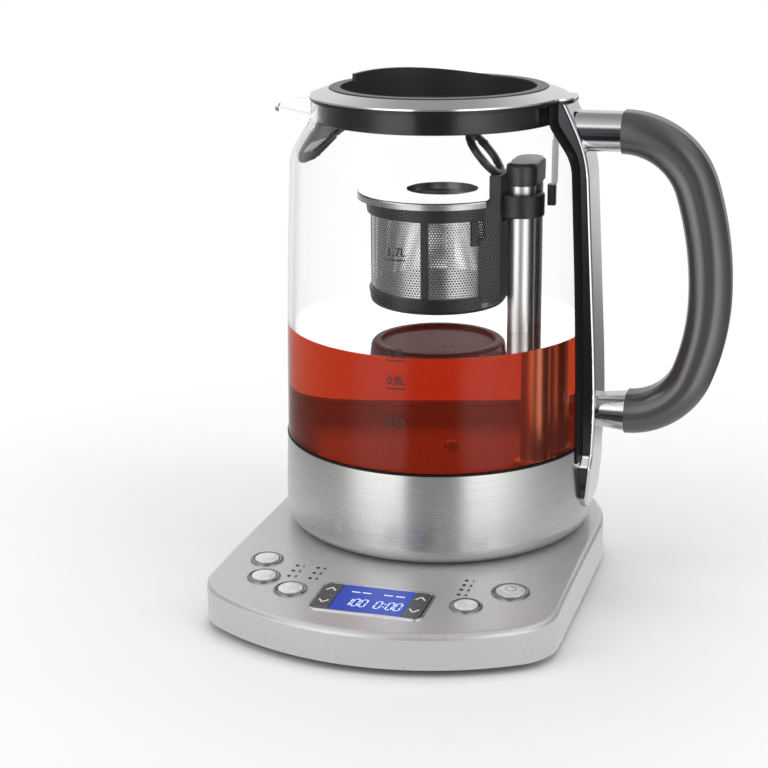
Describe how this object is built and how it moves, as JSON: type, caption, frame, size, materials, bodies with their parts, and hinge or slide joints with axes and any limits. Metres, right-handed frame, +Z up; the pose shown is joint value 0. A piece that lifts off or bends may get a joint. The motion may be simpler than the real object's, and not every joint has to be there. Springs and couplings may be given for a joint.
{
  "type": "automatic tea maker",
  "caption": "Glass electric jug on a control base, with a mesh tea basket that a motor raises and lowers along a steel post inside it, a D handle, a spout and a lift-off lid.",
  "frame": {"origin": "under the centre of the whole object's footprint, at table level", "axes": "+Z up, -Y towards the user and the keys, +X towards the handle, -X towards the spout"},
  "size_m": [0.2216, 0.2272, 0.238],
  "materials": {
    "silver_panel": "fine brushed silver lacquer",
    "black_plastic": "satin black moulding",
    "dark_base": "fine textured black",
    "rubber_black": "matt",
    "zinc_steel": "bright zinc",
    "brass_contact": "plain",
    "board_green": "solder resist",
    "switch_grey": "matt",
    "lens_white": "clear tinted",
    "chrome": "polished",
    "button_silver": "satin silver",
    "button_dark": "satin grey",
    "key_grey": "graded grey",
    "display_blue": "lit liquid-crystal window",
    "module_white": "matt",
    "skirt_steel": "brushed round the jug",
    "pan_steel": "satin",
    "silicone_black": "satin",
    "silicone_clear": "satin",
    "clear_glass": "polished",
    "collar_black": "glossy black",
    "grip_dark": "satin dark grey",
    "lid_black": "semi-gloss black",
    "magnet_grey": "nickel",
    "basket_grey": "satin dark grey",
    "mesh_steel": "perforated",
    "tube_steel": "bright satin"
  },
  "bodies": {
    "base": {"base_top_cover": "silver_panel", "base_bottom_cover": "dark_base", "base_feet": "rubber_black", "base_screws": "zinc_steel", "power_socket": "black_plastic", "socket_contacts": "brass_contact", "control_board": "board_green", "key_switches": "switch_grey", "indicator_lenses": "lens_white", "button_bezels": "chrome", "display_frame": "chrome", "display_window": "display_blue", "display_module": "module_white", "cord_gland": "rubber_black"},
    "jug": {"jug_skirt": "skirt_steel", "skirt_gasket": "silicone_black", "heater_pan": "pan_steel", "heating_element": "zinc_steel", "temperature_sensor": "tube_steel", "jug_bottom_cover": "dark_base", "bottom_screws": "zinc_steel", "jug_connector": "black_plastic", "lift_motor": "zinc_steel", "screw_bush": "module_white", "lift_tube": "tube_steel", "guide_tube": "tube_steel", "post_cap": "black_plastic", "glass_body": "clear_glass", "neck_collar": "collar_black", "neck_ring": "chrome", "spout_filter_frame": "black_plastic", "spout_filter_mesh": "mesh_steel", "level_strip": "tube_steel", "level_tip": "black_plastic", "handle_spine": "chrome", "spine_gasket": "silicone_black", "handle_grip": "grip_dark", "handle_core": "zinc_steel", "handle_screws": "zinc_steel"},
    "screw": {"lift_screw": "zinc_steel"},
    "shuttle": {"shuttle_nut": "module_white", "shuttle_magnets": "magnet_grey"},
    "carriage": {"lift_collar": "basket_grey", "collar_magnets": "magnet_grey"},
    "basket": {"basket_frame": "basket_grey", "basket_mesh": "mesh_steel", "basket_holder": "basket_grey"},
    "basket_disc": {"basket_lid": "mesh_steel"},
    "lid": {"lid_bowl": "lid_black", "lid_seal": "silicone_clear"},
    "button_left_back_body": {"button_left_back": "button_silver"},
    "button_left_middle_body": {"button_left_middle": "button_silver"},
    "button_left_front_body": {"button_left_front": "button_silver"},
    "button_function_body": {"button_function": "button_silver"},
    "button_start_body": {"button_start": "button_dark"},
    "key_left_up_body": {"key_left_up": "key_grey"},
    "key_left_down_body": {"key_left_down": "key_grey"},
    "key_right_up_body": {"key_right_up": "key_grey"},
    "key_right_down_body": {"key_right_down": "key_grey"}
  },
  "joints": [
    {"name": "jug_lift", "type": "slide", "parent": "base", "child": "jug", "axis": [0, 0, 1], "range_m": [0, 0.12]},
    {"name": "lid_lift", "type": "slide", "parent": "jug", "child": "lid", "axis": [0, 0, 1], "range_m": [0, 0.06]},
    {"name": "basket_lift", "type": "slide", "parent": "jug", "child": "carriage", "axis": [0, 0, 1], "range_m": [-0.064, 0]},
    {"name": "screw_turn", "type": "hinge", "parent": "jug", "child": "screw", "pos_m": [0.01345, 0.0214, 0.12], "axis": [0, 0, 1], "range_deg": [-2885, 5]},
    {"name": "shuttle_slide", "type": "slide", "parent": "jug", "child": "shuttle", "axis": [0, 0, 1], "range_m": [-0.0645, 0.0005]},
    {"name": "basket_unhook", "type": "slide", "parent": "carriage", "child": "basket", "axis": [0, 0, 1], "range_m": [0, 0.0035]},
    {"name": "basket_lid_lift", "type": "slide", "parent": "basket", "child": "basket_disc", "axis": [0, 0, 1], "range_m": [0, 0.007]},
    {"name": "button_left_back_press", "type": "slide", "parent": "base", "child": "button_left_back_body", "axis": [0, 0.034, -0.9994], "range_m": [0, 0.001], "stiffness_N_per_m": 600},
    {"name": "button_left_middle_press", "type": "slide", "parent": "base", "child": "button_left_middle_body", "axis": [0, 0.034, -0.9994], "range_m": [0, 0.001], "stiffness_N_per_m": 600},
    {"name": "button_left_front_press", "type": "slide", "parent": "base", "child": "button_left_front_body", "axis": [0, 0.034, -0.9994], "range_m": [0, 0.001], "stiffness_N_per_m": 600},
    {"name": "button_function_press", "type": "slide", "parent": "base", "child": "button_function_body", "axis": [0, 0.034, -0.9994], "range_m": [0, 0.001], "stiffness_N_per_m": 600},
    {"name": "button_start_press", "type": "slide", "parent": "base", "child": "button_start_body", "axis": [0, 0.034, -0.9994], "range_m": [0, 0.001], "stiffness_N_per_m": 600},
    {"name": "key_left_up_press", "type": "slide", "parent": "base", "child": "key_left_up_body", "axis": [0, 0.034, -0.9994], "range_m": [0, 0.0008], "stiffness_N_per_m": 600},
    {"name": "key_left_down_press", "type": "slide", "parent": "base", "child": "key_left_down_body", "axis": [0, 0.034, -0.9994], "range_m": [0, 0.0008], "stiffness_N_per_m": 600},
    {"name": "key_right_up_press", "type": "slide", "parent": "base", "child": "key_right_up_body", "axis": [0, 0.034, -0.9994], "range_m": [0, 0.0008], "stiffness_N_per_m": 600},
    {"name": "key_right_down_press", "type": "slide", "parent": "base", "child": "key_right_down_body", "axis": [0, 0.034, -0.9994], "range_m": [0, 0.0008], "stiffness_N_per_m": 600}
  ],
  "couplings": [
    {"joint": "screw_turn", "follows": "basket_lift", "rad_per_m": 785.4},
    {"joint": "shuttle_slide", "follows": "basket_lift", "ratio": 1}
  ]
}
